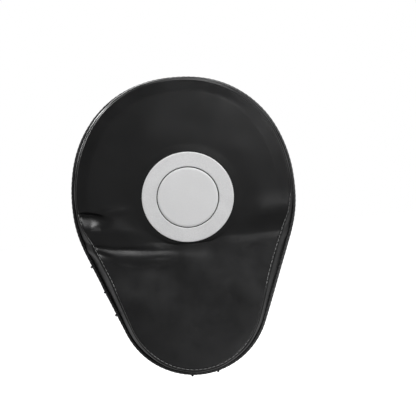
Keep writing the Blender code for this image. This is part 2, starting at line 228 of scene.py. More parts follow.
def crease(x, s, points, height, width, start=1.0, end=0.0, sharp=2.0, bank=None):
    """A ridge (or, below zero, a fold) along a line. start and end are its strength there.

    bank is the width of its lower side, where that differs from the upper one.
    """
    line, along = smooth_line(points)
    gap = np.hypot(x[..., None] - line[:, 0], s[..., None] - line[:, 1])
    nearest = gap.argmin(axis=-1)
    gap = np.take_along_axis(gap, nearest[..., None], axis=-1)[..., 0]
    u = along[nearest]
    fade_in = start + (1 - start) * ease(u / 0.25)
    fade_out = end + (1 - end) * ease((1 - u) / 0.45)
    width = np.where(s < line[nearest, 1], bank or width, width)
    return height * fade_in * fade_out * np.exp(-(gap / width) ** sharp)


# ---- mesh helpers

def new_object(name, mesh):
    piece = bpy.data.objects.new(name, mesh)
    bpy.context.scene.collection.objects.link(piece)
    return piece


def mesh_from(name, points, faces, material, body=None, replaces=(), thick=0.0):
    """A smooth-shaded piece from points in metres and faces, finished unless body is None: the parts it
    replaces hidden and the piece hung on its body.
    """
    mesh = bpy.data.meshes.new(name)
    mesh.from_pydata([tuple(p) for p in np.asarray(points).reshape(-1, 3)], [], faces)
    mesh.shade_smooth()
    mesh.materials.append(material)
    piece = new_object(name, mesh)
    face_outwards(piece)
    if thick:
        thicken(piece, thick)
    if body:
        finish_piece(piece, body, replaces)
    return piece


def finish_piece(piece, body, replaces):
    """Hide the model's parts that a finished mesh replaces, and hang it on the body that carries it, or bake
    it in place for both.
    """
    if replaces:
        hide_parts(*replaces)
    if body == BOTH:
        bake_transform(piece)
    else:
        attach(piece, body)


def ring_faces(rows, count, closed=True, round_again=False):
    """Quads between rows of points, each row closed on itself unless closed is False."""
    faces = []
    for i in range(rows if round_again else rows - 1):
        below = (i + 1) % rows
        for j in range(count if closed else count - 1):
            k = (j + 1) % count
            faces.append((i * count + j, i * count + k, below * count + k, below * count + j))
    return faces


def tube_faces(rings, count):
    """Quads between closed rings, and a face over each end."""
    last = (rings - 1) * count
    return ring_faces(rings, count) + [tuple(range(count)), tuple(range(last, last + count))]


def dome_faces(rings, count):
    """Quads between closed rings, and a fan from the last one to a single point after it."""
    last = (rings - 1) * count
    fan = [(last + j, last + (j + 1) % count, rings * count) for j in range(count)]
    return ring_faces(rings, count) + fan


def shifted(faces, base):
    return [tuple(base + i for i in face) for face in faces]


def places_of(piece):
    return np.array([v.co for v in piece.data.vertices])


def move_to(piece, places):
    piece.data.vertices.foreach_set("co", places.astype(np.float32).ravel())
    piece.data.update()


def face_outwards(piece):
    bm = bmesh.new()
    bm.from_mesh(piece.data)
    bmesh.ops.recalc_face_normals(bm, faces=bm.faces)
    bm.to_mesh(piece.data)
    bm.free()


def apply_modifiers(piece):
    """Bake a piece's modifiers into its mesh."""
    graph = bpy.context.evaluated_depsgraph_get()
    mesh = bpy.data.meshes.new_from_object(piece.evaluated_get(graph))
    old = piece.data
    piece.modifiers.clear()
    piece.data = mesh
    bpy.data.meshes.remove(old)


def blow_up(piece, pinned, cap):
    """Let pressure fill a slack leather surface between its pinned seams, moving at most cap."""
    before = places_of(piece)
    group = piece.vertex_groups.new(name="pinned")
    group.add([int(i) for i in pinned], 1.0, "REPLACE")
    cloth = piece.modifiers.new("cloth", "CLOTH")
    cloth.settings.vertex_group_mass = "pinned"
    cloth.settings.quality = 6
    cloth.settings.use_pressure = True
    cloth.settings.uniform_pressure_force = CLOTH_PRESSURE
    cloth.settings.shrink_min = -CLOTH_SLACK
    cloth.settings.effector_weights.gravity = 0
    cloth.point_cache.frame_end = CLOTH_FRAMES
    scene = bpy.context.scene
    for number in range(1, CLOTH_FRAMES + 1):
        scene.frame_set(number)
    graph = bpy.context.evaluated_depsgraph_get()
    after = places_of(piece.evaluated_get(graph))
    piece.modifiers.clear()
    piece.vertex_groups.clear()
    scene.frame_set(1)
    move = after - before
    size = np.linalg.norm(move, axis=1, keepdims=True) + 1e-12
    limit = cap * MM
    move_to(piece, before + move / size * limit * np.tanh(size / limit))


def thicken(piece, thick):
    solid = piece.modifiers.new("thickness", "SOLIDIFY")
    solid.thickness = thick * MM
    solid.offset = -1
    apply_modifiers(piece)


# ---- materials

def math_node(tree, operation, *values):
    """A Math node's output. Each value is a number or another node's output."""
    node = tree.nodes.new("ShaderNodeMath")
    node.operation = operation
    for socket, value in zip(node.inputs, values):
        if isinstance(value, (int, float)):
            socket.default_value = value
        else:
            tree.links.new(value, socket)
    return node.outputs[0]


class Graph:
    """Short calls for building a material's nodes."""

    def __init__(self, name, **values):
        self.material = bpy.data.materials.new(name)
        self.material.use_nodes = True
        self.tree = self.material.node_tree
        self.shader = self.tree.nodes["Principled BSDF"]
        for socket, value in values.items():
            self.shader.inputs[socket.replace("_", " ")].default_value = value
        coordinates = self.tree.nodes.new("ShaderNodeTexCoord")
        scale = self.tree.nodes.new("ShaderNodeVectorMath")
        scale.operation = "SCALE"
        scale.inputs["Scale"].default_value = 1 / MM
        self.link(coordinates.outputs["Object"], scale.inputs[0])
        self.place = scale.outputs[0]

    def link(self, output, socket):
        self.tree.links.new(output, socket)

    def noise(self, size, detail=3.0, rough=0.5, distortion=0.0):
        node = self.tree.nodes.new("ShaderNodeTexNoise")
        node.inputs["Scale"].default_value = 1 / size
        node.inputs["Detail"].default_value = detail
        node.inputs["Roughness"].default_value = rough
        node.inputs["Distortion"].default_value = distortion
        self.link(self.place, node.inputs["Vector"])
        return node.outputs["Fac"]

    def cells(self, size, place=None):
        node = self.tree.nodes.new("ShaderNodeTexVoronoi")
        node.inputs["Scale"].default_value = 1 / size
        self.link(place or self.place, node.inputs["Vector"])
        return node.outputs["Distance"]

    def math(self, operation, *values):
        return math_node(self.tree, operation, *values)

    def ramp(self, value, low, high, out_low=0.0, out_high=1.0):
        node = self.tree.nodes.new("ShaderNodeMapRange")
        node.clamp = True
        for index, number in enumerate((low, high, out_low, out_high), start=1):
            node.inputs[index].default_value = number
        self.link(value, node.inputs["Value"])
        return node.outputs["Result"]

    def mix(self, factor, first, second):
        node = self.tree.nodes.new("ShaderNodeMix")
        node.data_type = "RGBA"
        self.link(factor, node.inputs["Factor"])
        for socket, value in ((node.inputs[6], first), (node.inputs[7], second)):
            if isinstance(value, tuple):
                socket.default_value = (*value, 1)
            else:
                self.link(value, socket)
        return node.outputs[2]

    def bump(self, height, distance, strength=1.0, before=None):
        node = self.tree.nodes.new("ShaderNodeBump")
        node.inputs["Distance"].default_value = distance * MM
        node.inputs["Strength"].default_value = strength
        self.link(height, node.inputs["Height"])
        if before is not None:
            self.link(before, node.inputs["Normal"])
        return node.outputs["Normal"]

    def colour(self, value, low, high, first, second):
        self.set("Base Color", self.mix(self.ramp(value, low, high), first, second))

    def set(self, socket, output):
        self.link(output, self.shader.inputs[socket])


def leather_material(name, dark, light, rough, specular):
    """Satin synthetic leather: fine grain, faint pores, slow changes of tone and of polish."""
    g = Graph(name, Specular_IOR_Level=specular)
    tone = g.noise(38.0, 3.0, 0.55)
    g.colour(tone, 0.35, 0.68, dark, light)
    polish = g.noise(14.0, 4.0, 0.6)
    g.set("Roughness", g.ramp(polish, 0.3, 0.7, rough - 0.05, rough + 0.07))
    grain = g.bump(g.cells(0.95), 0.02, 0.5)
    pores = g.bump(g.noise(0.45, 2.0), 0.01, 0.5, before=grain)
    g.set("Normal", pores)
    return g.material


def target_material(name, low, high, rough, grain_size, grain_height):
    """Light grey vinyl with a leather grain."""
    g = Graph(name, Specular_IOR_Level=0.3)
    tone = g.noise(22.0, 3.0, 0.5)
    speckle = g.noise(1.1, 2.0, 0.6)
    shade = g.math("ADD", g.math("MULTIPLY", tone, 0.45), g.math("MULTIPLY", speckle, 0.55))
    g.colour(shade, 0.34, 0.66, low, high)
    g.set("Roughness", g.ramp(g.noise(4.0), 0.3, 0.7, rough - 0.06, rough + 0.06))
    grain = g.bump(g.cells(grain_size), grain_height, 0.7)
    g.set("Normal", g.bump(g.noise(0.6, 3.0), grain_height * 0.5, 0.6, before=grain))
    return g.material


def thread_material(name, low, high):
    """Twisted sewing thread."""
    g = Graph(name, Roughness=0.62, Specular_IOR_Level=0.3, Sheen_Weight=0.25)
    twist = g.noise(0.35, 2.0, 0.6)
    g.colour(twist, 0.3, 0.7, low, high)
    g.set("Normal", g.bump(twist, 0.12, 0.6))
    return g.material


def foam_material(name, low, high):
    """Closed-cell foam."""
    g = Graph(name, Roughness=0.92, Specular_IOR_Level=0.2)
    cells = g.cells(1.3)
    g.colour(cells, 0.1, 0.6, low, high)
    g.set("Normal", g.bump(cells, 0.35, 0.7))
    return g.material


def board_material(name, low, high):
    """Pressed fibre board."""
    g = Graph(name, Roughness=0.8, Specular_IOR_Level=0.25)
    fibres = g.noise(1.6, 5.0, 0.7, distortion=1.5)
    g.colour(fibres, 0.35, 0.65, low, high)
    g.set("Normal", g.bump(fibres, 0.1, 0.6))
    return g.material


def cloth_material(name, low, high, size, height, sheen, stretch=(1.0, 1.0, 1.0)):
    """Knit or webbing: small raised cells of yarn, softly sheened."""
    g = Graph(name, Roughness=0.88, Specular_IOR_Level=0.2, Sheen_Weight=sheen, Sheen_Roughness=0.5)
    scaled = g.tree.nodes.new("ShaderNodeVectorMath")
    scaled.operation = "MULTIPLY"
    scaled.inputs[1].default_value = stretch
    g.link(g.place, scaled.inputs[0])
    yarn = g.cells(size, place=scaled.outputs[0])
    tone = g.math("ADD", g.math("MULTIPLY", yarn, 0.7), g.math("MULTIPLY", g.noise(9.0), 0.3))
    g.colour(tone, 0.15, 0.6, high, low)
    fuzz = g.bump(g.noise(0.5, 3.0, 0.7), 0.1, 0.5)
    g.set("Normal", g.bump(g.math("SUBTRACT", 1.0, yarn), height, 0.9, before=fuzz))
    return g.material


def make_materials():
    return {
        "palm": leather_material("palm_leather", (0.012, 0.012, 0.0125), (0.018, 0.018, 0.0185), 0.5, 0.34),
        "eyelet": leather_material("eyelet", (0.02, 0.02, 0.021), (0.035, 0.035, 0.036), 0.34, 0.6),
        "lining": cloth_material("lining", (0.03, 0.03, 0.034), (0.075, 0.075, 0.08), 1.3, 0.25, 0.3),
        "strap": cloth_material("strap", (0.012, 0.012, 0.013), (0.035, 0.035, 0.037), 1.1, 0.3, 0.15,
                                (0.6, 1.0, 1.0)),
        "loop": cloth_material("loop_pile", (0.012, 0.012, 0.012), (0.04, 0.04, 0.042), 0.7, 0.5, 0.6),
        "hook": cloth_material("hook_tape", (0.008, 0.008, 0.008), (0.03, 0.03, 0.03), 1.0, 0.6, 0.1),
        "leather": leather_material("leather", (0.0055, 0.0055, 0.0058), (0.0085, 0.0085, 0.009),
                                    0.33, 0.42),
        # binding: a lighter grey than the panels' leather, a painted highlight for the lit rim; the pockets'
        # mouth strips and the pull tab share it
        "binding": leather_material("binding", (0.036, 0.036, 0.037), (0.055, 0.055, 0.056), 0.42, 0.38),
        "target": target_material("target", (0.72, 0.72, 0.725), (0.83, 0.83, 0.835), 0.6, 1.25, 0.07),
        "target_centre": target_material("target_centre", (0.79, 0.79, 0.795),
                                         (0.83, 0.83, 0.835), 0.52, 1.6, 0.02),
        "line": leather_material("target_line", (0.03, 0.03, 0.03), (0.045, 0.045, 0.045), 0.6, 0.3),
        # thread: light grey, a painted highlight: the glints of darker thread put into its colour; every row
        # of stitches takes it
        "thread": thread_material("thread", (0.16, 0.16, 0.16), (0.34, 0.34, 0.34)),
        "dark_thread": thread_material("dark_thread", (0.02, 0.02, 0.021), (0.05, 0.05, 0.052)),
        "foam": foam_material("foam", (0.13, 0.14, 0.16), (0.19, 0.20, 0.22)),
        "board": board_material("board", (0.06, 0.06, 0.064), (0.1, 0.1, 0.105)),
    }


# ---- stage, light and camera

CAMERA_AWAY = 850.0
CAMERA_HEIGHT = 40.5
VIEW_WIDTH = 357.8             # what the picture spans at the flex axis
VIEW_ROLL = math.radians(5.47)
SENSOR = 36.0
SHIFT = (0.0516, 0.0470)
FLOOR_DROP = 70.0
WORLD_LOW, WORLD_SIDE, WORLD_TOP = 0.11, 0.25, 0.3
# Soft lights, in metres and watts: name, place, what it aims at, size, power
LIGHTS = (("key", (0.28, -0.55, 0.85), (0, 0, 0.06), 0.6, 11.0),
          ("right", (1.2, -0.9, 0.2), (0, 0, 0.05), 0.8, 5.0),
          ("low", (0.3, -1.2, -0.3), (0, 0, 0.12), 0.5, 5.8),
          ("back_key", (-0.5, 1.0, 0.9), (0, 0, 0.03), 0.9, 16.0))


def make_camera():
    data = bpy.data.cameras.new("camera")
    data.sensor_width = SENSOR
    data.lens = SENSOR * CAMERA_AWAY / VIEW_WIDTH
    data.shift_x, data.shift_y = SHIFT
    data.clip_start = 0.01
    camera = new_object("camera", data)
    camera.location = (0, (FLEX_Y - CAMERA_AWAY) * MM, CAMERA_HEIGHT * MM)
    camera.rotation_mode = "QUATERNION"
    level = Vector((0, 1, 0)).to_track_quat("-Z", "Y")
    camera.rotation_quaternion = level @ Quaternion((0, 0, 1), -VIEW_ROLL)
    bpy.context.scene.camera = camera


def make_world():
    """White behind the mitt, with a studio's light round it: bright above and at the sides."""
    world = bpy.data.worlds.new("studio")
    world.use_nodes = True
    tree = world.node_tree
    background = tree.nodes["Background"]
    background.inputs["Color"].default_value = (1, 1, 1, 1)
    way = tree.nodes.new("ShaderNodeSeparateXYZ")
    tree.links.new(tree.nodes.new("ShaderNodeTexCoord").outputs["Generated"], way.inputs[0])
    side = math_node(tree, "POWER", math_node(tree, "ABSOLUTE", way.outputs["X"]), 2.0)
    up = math_node(tree, "MAXIMUM", way.outputs["Z"], 0.0)
    light = math_node(tree, "MULTIPLY_ADD", side, WORLD_SIDE, WORLD_LOW)
    light = math_node(tree, "MULTIPLY_ADD", up, WORLD_TOP, light)
    seen = tree.nodes.new("ShaderNodeLightPath").outputs["Is Camera Ray"]
    tree.links.new(math_node(tree, "MAXIMUM", light, seen), background.inputs["Strength"])
    bpy.context.scene.world = world


def soft_light(name, place, aim, size, power):
    data = bpy.data.lights.new(name, "AREA")
    data.shape = "SQUARE"
    data.size = size
    data.energy = power
    light = new_object(name, data)
    light.location = place
    light.rotation_mode = "QUATERNION"
    light.rotation_quaternion = (Vector(aim) - Vector(place)).to_track_quat("-Z", "Y")
    light.visible_camera = False


def make_floor(lowest):
    """A wide pale floor some way below the mitt."""
    bm = bmesh.new()
    bmesh.ops.create_circle(bm, cap_ends=True, segments=96, radius=30.0)
    mesh = bpy.data.meshes.new("floor")
    bm.to_mesh(mesh)
    bm.free()
    g = Graph("floor", Roughness=0.9, Specular_IOR_Level=0.1)
    g.shader.inputs["Emission Color"].default_value = (1, 1, 1, 1)
    g.set("Base Color", g.mix(g.noise(400.0), (0.19, 0.19, 0.19), (0.22, 0.22, 0.22)))
    seen = g.tree.nodes.new("ShaderNodeLightPath").outputs["Is Camera Ray"]
    g.set("Emission Strength", g.math("MULTIPLY", seen, 1.1))
    mesh.materials.append(g.material)
    floor = new_object("floor", mesh)
    floor.location = (0, 0, lowest - FLOOR_DROP * MM)


def make_stage(lowest):
    bpy.context.scene.view_settings.view_transform = "Standard"
    make_camera()
    make_world()
    make_floor(lowest)
    for light in LIGHTS:
        soft_light(*light)


# ---- front panel

SEAM_B = -25.6                 # the front seam, just behind the hitting face
REAR_B = 2.0                   # the rear seam
EDGE_ROLL = 1.9                # how far in the panel's rounded edge reaches
EDGE_OVER = -0.6               # how far the rounded edge stands over its seam
FACE_ROLL = 1.2                # extra rounding of the face towards its edge
CROWN_S = 52.0                 # the strike section's highest line
# The rows of the panel's rounded edge, in degrees of its roll
ROLL_TURNS = (-62, -40, -22, -7, 7, 20, 33, 46, 59, 71, 81, 90)
SKIN = 1.1
PLAIN_ROWS = 92
STITCHED_BELOW = 44.0          # the front seam shows its stitches below this height
UNDER_TARGET = 20.0            # radius inside which the panel is only a plain disc
CLOTH_PRESSURE, CLOTH_SLACK, CLOTH_FRAMES = 4.0, 0.02, 20

# Back panel
BACK_ROWS, BACK_ROLL_ROWS, BACK_ROLL = 60, 8, 2.6
BACK_SEAM = 5.0                # the stitches, inwards from the panel's edge
BACK_WAVES = ((47, 15, 0.2, 0.06), (31, -50, 1.1, 0.05))

# Pockets, as in the model; grid is rows and columns, seams are degrees across, flange its scale
GAP, NEST = 0.3, 0.5
SHELL, LINING = 1.6, 0.9
TIP_ROUND = 0.4
SHELL_LEATHER = 1.0
FLANGE_LIFT, FLANGE_OUT = 1.1, 7.0
FLANGE = ((0.7, 1.2), (1.6, 1.1), (3.6, 1.02), (5.8, 1.1), (6.7, 0.95), (7.0, 0.5))
SHELL_WAVES = ((37, 40, 0.9, 0.16), (23, -30, 2.1, 0.10), (14, 75, 0.4, 0.06))
LINING_WAVES = ((19, 20, 0.5, 0.12), (11, 70, 1.4, 0.08))
MOUTH_UP, MOUTH_TALL = 0.9, 1.2
VENT_ROWS, VENT_COLUMNS = 4, 4
VENT_PROFILE = ((1.9, -0.4), (1.8, 0.15), (1.4, 0.38), (1.05, 0.25), (0.9, -0.4))   # radius, height
POCKETS = {
    "finger_pocket": {"width": 46.0, "deep": 34.0, "length": 100.0, "taper": 0.30, "padding": 4.0, "x": 0.0,
                      "s": 14.0, "sway": 0.0, "lean": STRIKE_LEAN, "body": "strike", "grid": (44, 91),
                      "seams": (52, 128), "flange": 1.0, "cap": 0.9, "vents": True},
    "thumb_pocket": {"width": 18.5, "deep": 25.0, "length": 40.0, "taper": 0.36, "padding": 2.0, "x": -45.0,
                     "s": -50.5, "sway": -0.55, "lean": HEEL_LEAN, "body": "heel", "grid": (30, 61),
                     "seams": (90,), "flange": 0.5, "cap": 0.7, "vents": False},
}

# Palm pad: each ring of its side is (scale, share of the height, extra height)
PALM_W, PALM_H, PALM_SEAM = 26.0, 19.0, 0.6
PALM_POWER = 2 / 2.3           # makes the oval a little square
PALM_PROFILE = ((1.15, 0.0, 0.1), (1.15, 0.0, 0.9), (1.13, 0.0, 1.1), (1.05, 0.0, 1.0), (1.01, 0.06, 1.0),
                (1.0, 0.2, 0.8), (1.03, 0.4, 0.5), (1.03, 0.6, 0.3), (1.0, 0.8, 0.1), (0.97, 0.91, 0.0),
                (0.93, 0.98, 0.0), (0.9, 1.0, 0.0), (0.86, 1.0, 0.0))

# Wrist strap, as in the model
STRAP_S, STRAP_W, STRAP_T = -76.0, 30.0, 2.2
STRAP_B = BACK + 0.7
ARCH_W, ARCH_H = 43.0, 40.0
PATCH_T, PATCH_W = 0.9, 26.0
ANCHOR_H = 33.0
ANCHOR_PROFILE = ((1.0, 0.0), (1.0, 0.5), (0.97, 0.85), (0.9, 1.0), (0.78, 0.86), (0.66, 0.97), (0.4, 1.04),
                  (0.1, 1.06))                               # scale, share of the thickness

# Knotted thread ends on the rear edge, by the (x, s) that they point to
THREAD_R = 0.42
KNOTS = ((-84, -9), (-77, -30), (-69, -52), (-7, -112), (15, -110))

# The soft relief of the face: (wavelength, direction, phase, height)
SLOW_WAVES = ((63, 20, 0.4, 0.14), (41, -35, 1.9, 0.08), (29, 78, 0.7, 0.05), (88, 60, 2.6, 0.16))
DIAGONAL_WAVES = ((34, 68, 0.5, 0.10), (21, 60, 2.2, 0.04), (52, 50, 4.0, 0.12))


# The face's folds (below zero) and swells: a line of (x, s), its height and width, and crease()'s
# other values where they aren't the usual ones
CREASES = (
    # upper fold on the left edge, with its steep lower bank and a faint swell over it
    ([(-98, 42), (-84, 40.5), (-73, 38.5), (-58, 34)], -4.8, 1.8, dict(sharp=1.7, bank=6.5)),
    ([(-72, 41), (-54, 42), (-34, 42)], 0.8, 3.2, dict(start=0.2)),
    # the bulge squeezed up under the upper fold
    ([(-90, 31), (-80, 28.5), (-70, 28)], 3.0, 6.5, {}),
    # main fold: a line that opens into a long soft bank, and a short second fold under it
    ([(-88, 11), (-76, 8), (-63, 4), (-46, 1.5), (-28, -2), (0, -8)], -2.9, 2.6,
     dict(start=0.9, sharp=1.4, bank=8.5)),
    ([(-86, 3), (-75, 1), (-68, -2.5), (-58, -7)], -1.7, 1.5, dict(sharp=1.5, bank=5.0)),
    # the swell under the main fold, and a wide shallow streak below it
    ([(-78, 1), (-50, -5), (-24, -10), (0, -14)], 1.6, 7.5, dict(start=0.9)),
    ([(-60, -13), (-40, -17), (-18, -23), (2, -30)], -0.9, 6.0, dict(start=0.3, bank=10.0)),
    # the swell over the fold, on both sides of the target, and the one under the target
    ([(-84, 26), (-60, 25), (-34, 19)], 1.7, 9.0, dict(start=0.8, end=0.5)),
    ([(92, 31), (66, 30), (44, 27)], 2.0, 11.0, dict(start=0.9, end=0.6)),
    ([(92, 6), (60, 5), (30, -2)], -0.7, 13.0, dict(start=0.9, end=0.3)),
    ([(-10, -18), (6, -19), (26, -20)], 0.8, 9.0, dict(start=0.4)),
)


def face_relief(x, s, inside):
    """How far the face stands proud of its plain surface, before the edge and target masks."""
    relief = ripple(x, s, SLOW_WAVES) * ease(inside / 34)
    relief += ripple(x, s, DIAGONAL_WAVES) * ease((-14 - s) / 30)
    for line, height, width, other in CREASES:
        relief += crease(x, s, line, height, width, **other)
    return relief


def crown(x, s):
    """The padding's crown: the strike section is highest round the target, the heel in its middle."""
    above, under = (s - CROWN_S) / 78.0, np.minimum(CROWN_S - s, 45) / 45.0
    upper = np.where(s > CROWN_S, 2.5 * above ** 2, 1.7 * under ** 2)
    across = 1.5 * ((x - TARGET_X) / 95.0) ** 2
    lower = -2.2 * (np.minimum(s + 45.0, 0) / 75.0) ** 2
    return lower - (upper + across) * ease((s + 75.0) / 90.0)


def make_front_panel(materials):
    edge_x, edge_s, _ = rim(round_angles(RAYS), 1.0)
    reach = np.hypot(edge_x - TARGET_X, edge_s - TARGET_S)
    way_x, way_s = (edge_x - TARGET_X) / reach, (edge_s - TARGET_S) / reach
    rise = SEAM_B - FACE
    far, back = [], []
    for turn in np.radians(ROLL_TURNS):
        far.append(reach - EDGE_ROLL + (EDGE_ROLL + EDGE_OVER) * math.cos(turn))
        lift = rise * math.sin(turn) if turn > 0 else math.sin(turn)
        back.append(np.full(RAYS, SEAM_B - lift))
    for i in range(1, PLAIN_ROWS + 1):
        share = i / PLAIN_ROWS
        far.append((reach - EDGE_ROLL) * (1 - share) + UNDER_TARGET * share)
        back.append(np.full(RAYS, FACE))
    far, back = np.array(far), np.array(back)
    x, s = TARGET_X + far * way_x, TARGET_S + far * way_s
    inside = reach - far
    edge_mask = ease((inside + 1.2) / 4.0)
    target_mask = ease((far - TARGET_R - 0.8) / 26.0)
    roll = FACE_ROLL * (1 - ease(inside / 12.0)) * ease(inside + 1.0) * (0.15 + 0.85 * ease((s - 20) / 30))
    relief = (face_relief(x, s, inside) * edge_mask - roll) * target_mask
    relief += crown(x, s) * ease((far - TARGET_R + 2) / 10)
    points = bend(x, back - relief, s).reshape(-1, 3)
    points = np.concatenate([points, bend(TARGET_X, FACE, TARGET_S)[None]])
    panel = mesh_from("front_panel_leather", points, dome_faces(len(far), RAYS), materials["leather"], BOTH,
                      ["front_panel"], SKIN)


# ---- side band and binding

BAND_ROWS = 29
BAND_WAVES = ((23, 10, 0.3, 0.10), (37, 70, 1.3, 0.14))
BUNCH_LEFT, BUNCH_RIGHT = 1.5, 0.5   # how far the band stands out where the fold squeezes it
UNDER_BINDING = 1.5            # the skins' edges run this far in under the binding


def make_side_band(materials):
    """The leather strip between the two seams, bunched up at the fold."""
    angles = round_angles(RAYS)
    rows = []
    for i in range(BAND_ROWS):
        t = (1 - math.cos(math.pi * i / (BAND_ROWS - 1))) / 2
        rear, front = t * (REAR_B - SEAM_B), (1 - t) * (REAR_B - SEAM_B)
        tuck = 1.5 * math.exp(-(front / 1.1) ** 2) + 0.6 * math.exp(-((rear - 1.9) / 0.8) ** 2)
        tuck -= UNDER_BINDING * math.exp(-(rear / 1.0) ** 2)
        swell = 0.8 * math.sin(math.pi * t) ** 0.8
        x, s, turn = rim(angles, t, tuck - swell)
        wobble = ripple(x, s + 40 * t, BAND_WAVES)
        bunch = np.exp(-((s - 3) / 5.0) ** 2) - 0.5 * np.exp(-((s - 11) / 2.0) ** 2)
        wobble = wobble + np.where(x < 0, BUNCH_LEFT, BUNCH_RIGHT) * bunch * math.sin(math.pi * t) ** 0.5
        x = x + wobble * np.cos(turn)
        s = s + wobble * np.sin(turn)
        rows.append(bend(x, REAR_B + (SEAM_B - REAR_B) * t, s))
    mesh_from("side_band_leather", np.array(rows), ring_faces(BAND_ROWS, RAYS), materials["leather"], BOTH,
              ["side_band"], SKIN)


def make_edge_binding(materials):
    """The rolled strip round the rear edge, puckered by its stitches."""
    rays, sides = 1024, 14
    x, s, turn = rim(round_angles(rays), 0.0, BINDING_R - SEAM)
    length = np.cumsum(np.hypot(np.diff(x, append=x[0]), np.diff(s, append=s[0])))
    r = BINDING_R * (1 + 0.05 * np.sin(2 * math.pi * length / 4.2) + 0.03 * np.sin(length / 7.7))
    rows = []
    for a in round_angles(sides):
        out = r * math.cos(a)
        rows.append(bend(x + out * np.cos(turn), BACK - BINDING_R + r * math.sin(a), s + out * np.sin(turn)))
    # The binding leather's lighter grey paints the rim's highlight into the strip's colour.
    mesh_from("edge_binding_leather", np.array(rows), ring_faces(sides, rays, round_again=True),
              materials["binding"], BOTH, ["edge_binding"])


# ---- stitches

STITCH_SIDES = 6
STITCH_RINGS = ((0.0, 0.35), (0.12, 0.85), (0.5, 1.0), (0.88, 0.85), (1.0, 0.35))   # share along, width


def stitches(name, routes, materials, body, pitch=3.6, length=2.6, radius=0.3):
    """Separate thread stitches laid along (path, outward steps) routes of points in metres."""
    shape = np.array([(along, width * math.cos(a), width * math.sin(a))
                      for along, width in STITCH_RINGS for a in round_angles(STITCH_SIDES)])
    arch_over = 1 - (2 * shape[:, 0] - 1) ** 2
    one = tube_faces(len(STITCH_RINGS), STITCH_SIDES)
    points, faces = [], []
    for path, outwards in routes:
        steps = np.linalg.norm(np.diff(path, axis=0), axis=1)
        far = np.concatenate([[0], np.cumsum(steps)]) / MM
        at = pitch * 0.4
        while at + length < far[-1]:
            a, b = (np.array([np.interp(t, far, path[:, i]) for i in range(3)]) for t in (at, at + length))
            out = unit(np.array([np.interp(at + length / 2, far, outwards[:, i]) for i in range(3)]))
            side = np.cross(out, unit(b - a))
            up = shape[:, 2:3] * radius * 0.8 + arch_over[:, None] * 0.35 * radius
            faces += shifted(one, len(points) * len(shape))
            points.append(a + shape[:, :1] * (b - a) + (side * shape[:, 1:2] * radius + out * up) * MM)
            at += pitch
    # Every stitch takes the thread material, whose light grey is a painted highlight.
    mesh_from(name, np.concatenate(points), faces, materials["thread"], body)


def make_seam_stitches(materials):
    """The front seam's stitches, light grey from a painted highlight in the thread's colour, round the wrist
    end and up both flanks.
    """
    angles = math.pi / 2 + round_angles(RAYS, 1)
    x, s, turn = (v[rim(angles, 1.0)[1] < STITCHED_BELOW] for v in rim(angles, 1.0, 1.3))
    b = SEAM_B + 0.74 * (FACE - SEAM_B)
    path = bend(x, b, s)
    out = bend(x + np.cos(turn), b - 0.8, s + np.sin(turn)) - path
    stitches("front_seam_stitches", [(path, out)], materials, BOTH, 3.6, 2.7, 0.24)


# ---- target

TARGET_SIDES = 192


def target_disc(name, inner, outer, front, thick, edge, material, replaces=()):
    """A thin disc or ring with softly rounded edges."""
    profile = [(inner + (outer - inner) * i / 12, front) for i in range(1, 12)]
    profile += [(outer - edge, front), (outer - edge * 0.4, front + edge * 0.3), (outer, front + edge),
                (outer, front + thick)]
    angles = round_angles(TARGET_SIDES)
    faces = tube_faces(len(profile), TARGET_SIDES)
    if inner > 0:
        profile = [(inner, front + thick), (inner, front + edge), (inner + edge * 0.4, front + edge * 0.3),
                   (inner + edge, front)] + profile
        faces = ring_faces(len(profile), TARGET_SIDES, round_again=True)
    points = [section(TARGET_X + r * np.cos(angles), b, TARGET_S + r * np.sin(angles), STRIKE_LEAN)
              for r, b in profile]
    mesh_from(name, np.array(points), faces, material, "strike", replaces)


def make_target(materials):
    front = FACE - 0.55
    target_disc("target_ring_vinyl", TARGET_INNER_R + 0.45, TARGET_R, front, 0.5, 0.25,
                materials["target"], ["target_ring"])
    target_disc("target_centre_vinyl", 0.0, TARGET_INNER_R - 0.35, front, 0.5, 0.2,
                materials["target_centre"], ["target_centre"])
    target_disc("target_line_vinyl", TARGET_INNER_R - 0.33, TARGET_INNER_R + 0.43, front + 0.12, 0.35, 0.1,
                materials["line"])


# ---- inner foam and boards

FOAM_ROOT = -17.4              # b of the line between core and face foam
PRESSED, PRESSED_AT_FOLD = 5.2, 2.4


def soften(node, voxel, shrink, material, body):
    """A rounded soft copy of a plain solid, a little smaller than it."""
    source = bpy.data.objects[node]
    piece = new_object(node + "_block", source.data.copy())
    piece.data.materials.clear()
    piece.data.materials.append(material)
    remesh = piece.modifiers.new("remesh", "REMESH")
    remesh.mode = "VOXEL"
    remesh.voxel_size = voxel * MM
    smooth = piece.modifiers.new("smooth", "SMOOTH")
    smooth.iterations = 4
    smooth.factor = 0.5
    apply_modifiers(piece)
    normals = np.array([v.normal for v in piece.data.vertices])
    move_to(piece, places_of(piece) - normals * shrink * MM)
    piece.data.shade_smooth()
    finish_piece(piece, body, [node])
    return piece


def press_back(piece, lean):
    """Press a face foam back from the skin, most beside the fold, as the real foam is squeezed."""
    places = places_of(piece) / MM
    y, z = places[:, 1] - FLEX_Y, places[:, 2] - FLEX_Z
    b = y * math.cos(lean) + z * math.sin(lean)
    s = z * math.cos(lean) - y * math.sin(lean)
    share = np.clip((FOAM_ROOT - b) / (FOAM_ROOT - FACE), 0, 1)
    shift = share * (PRESSED + PRESSED_AT_FOLD * ease((34.0 - np.abs(s)) / 26.0))
    y = y + shift * math.cos(lean)
    z = z + shift * math.sin(lean)
    places[:, 1], places[:, 2] = y + FLEX_Y, z + FLEX_Z
    move_to(piece, places * MM)


